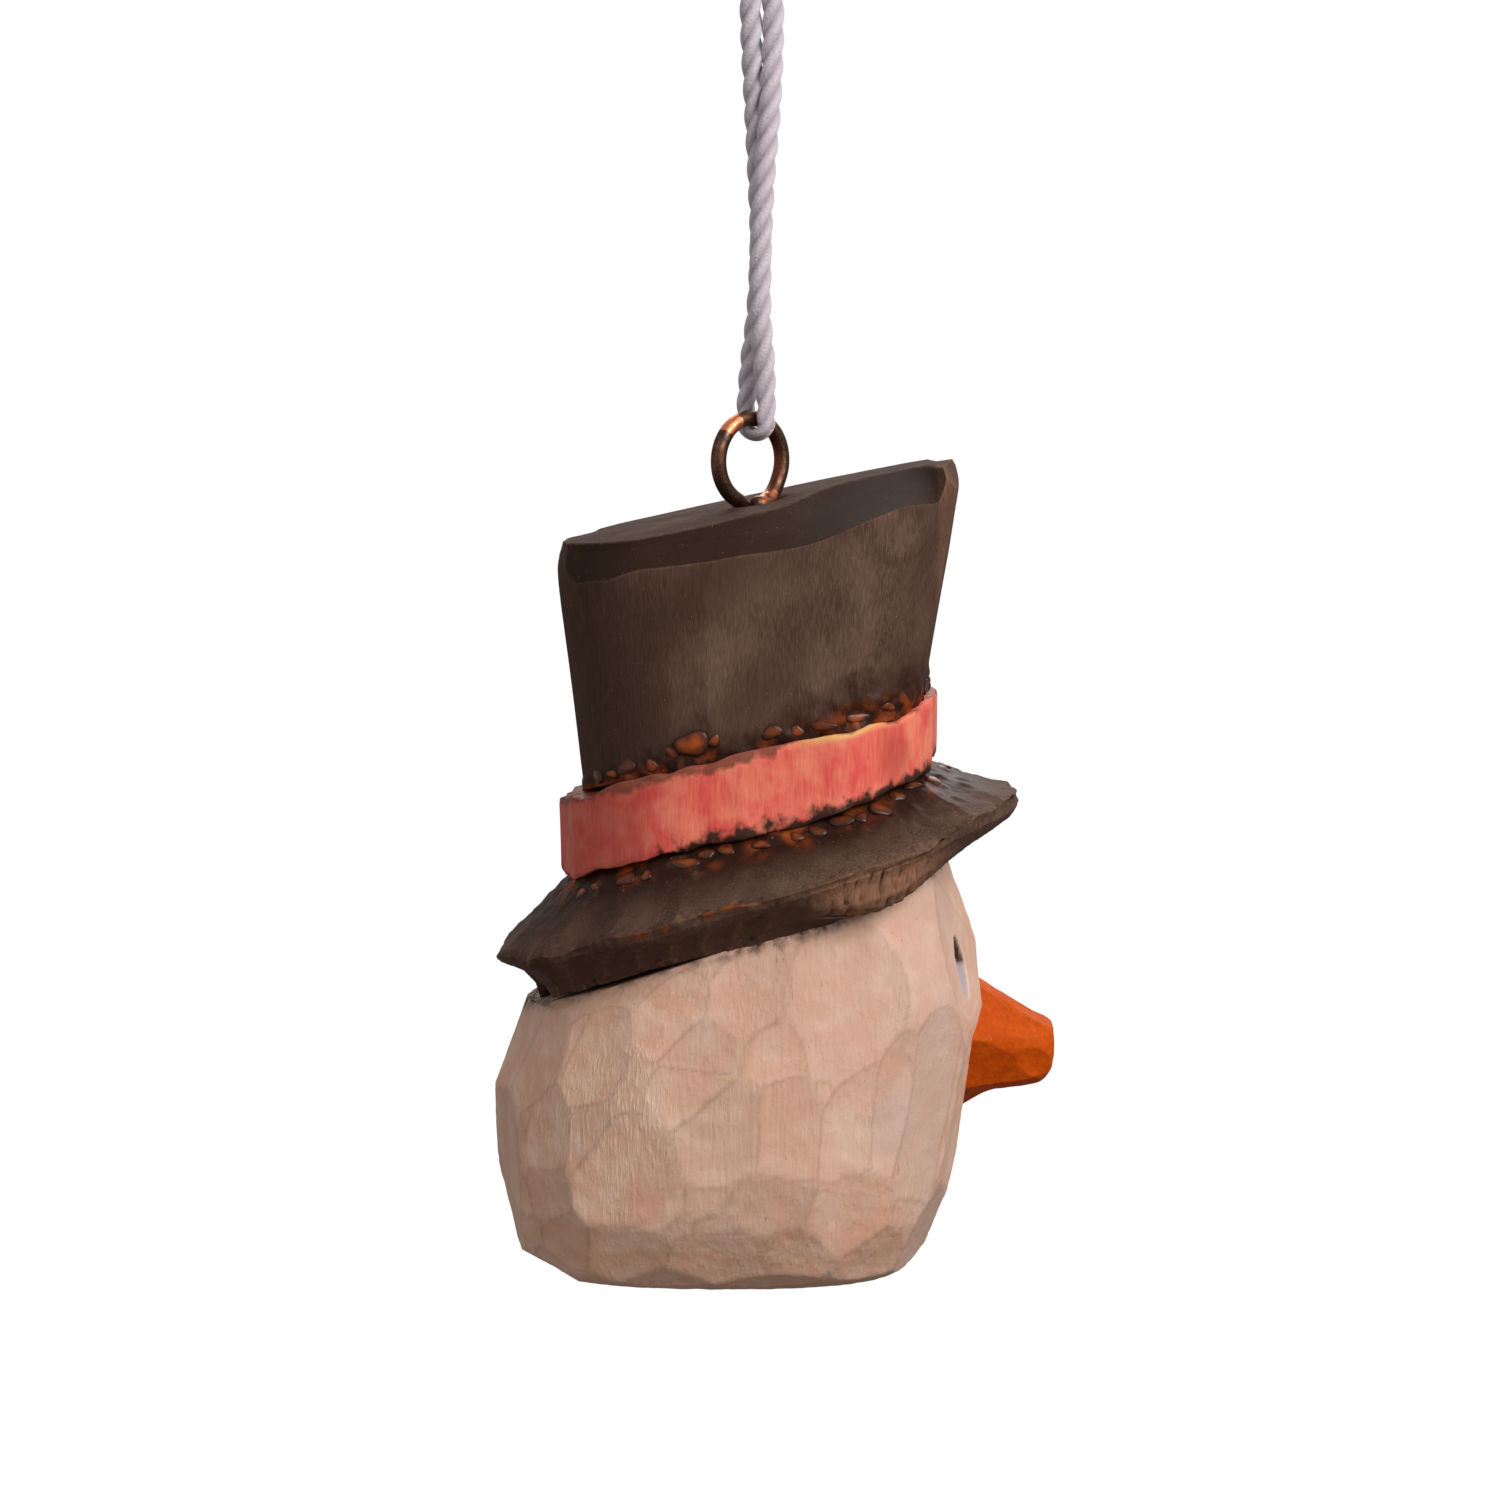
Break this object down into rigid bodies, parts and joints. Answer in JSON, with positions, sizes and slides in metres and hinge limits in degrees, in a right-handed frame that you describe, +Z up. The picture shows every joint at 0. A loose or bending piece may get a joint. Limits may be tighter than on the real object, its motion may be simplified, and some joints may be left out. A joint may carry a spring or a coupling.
{
  "type": "hanging snowman head ornament",
  "caption": "Hanging ornament: a carved and painted wooden snowman head in a tilted top hat, with a screw eye in a loop of twisted cotton cord.",
  "frame": {"origin": "the middle of the knot that the cord loop hangs by", "axes": "+Z up, +X towards the snowman's nose, +Y to the snowman's left"},
  "size_m": [0.0509, 0.043, 0.1279],
  "materials": {
    "white_wash": "thin matt white wash over bare carved wood",
    "black_stain": "rubbed brown-black stain, matt, worn on the edges",
    "red_stain": "thin coral red stain with the grain showing",
    "orange_paint": "satin orange paint",
    "copper": "antique copper plate, rubbed bright in places",
    "cotton": "white cotton, three strands twisted"
  },
  "bodies": {
    "knot": {"cord_knot": "cotton"},
    "cord": {"hanging_cord": "cotton"},
    "ring": {"screw_eye": "copper"},
    "figure": {"hat_crown": "black_stain", "hat_band": "red_stain", "hat_brim": "black_stain", "head": "white_wash", "carrot_nose": "orange_paint"}
  },
  "joints": [
    {"name": "cord_swing", "type": "hinge", "parent": "knot", "child": "cord", "pos_m": [0, 0, 0], "axis": [0, 1, 0], "range_deg": [-35, 35]},
    {"name": "ring_swing", "type": "hinge", "parent": "cord", "child": "ring", "pos_m": [-0.00011, 0.00044, -0.04306], "axis": [0.7431, 0.6691, 0], "range_deg": [-60, 60]},
    {"name": "screw_eye_turn", "type": "hinge", "parent": "ring", "child": "figure", "pos_m": [-0.0006, 0, -0.0468], "axis": [0, 0, 1], "range_deg": [-90, 90]}
  ]
}
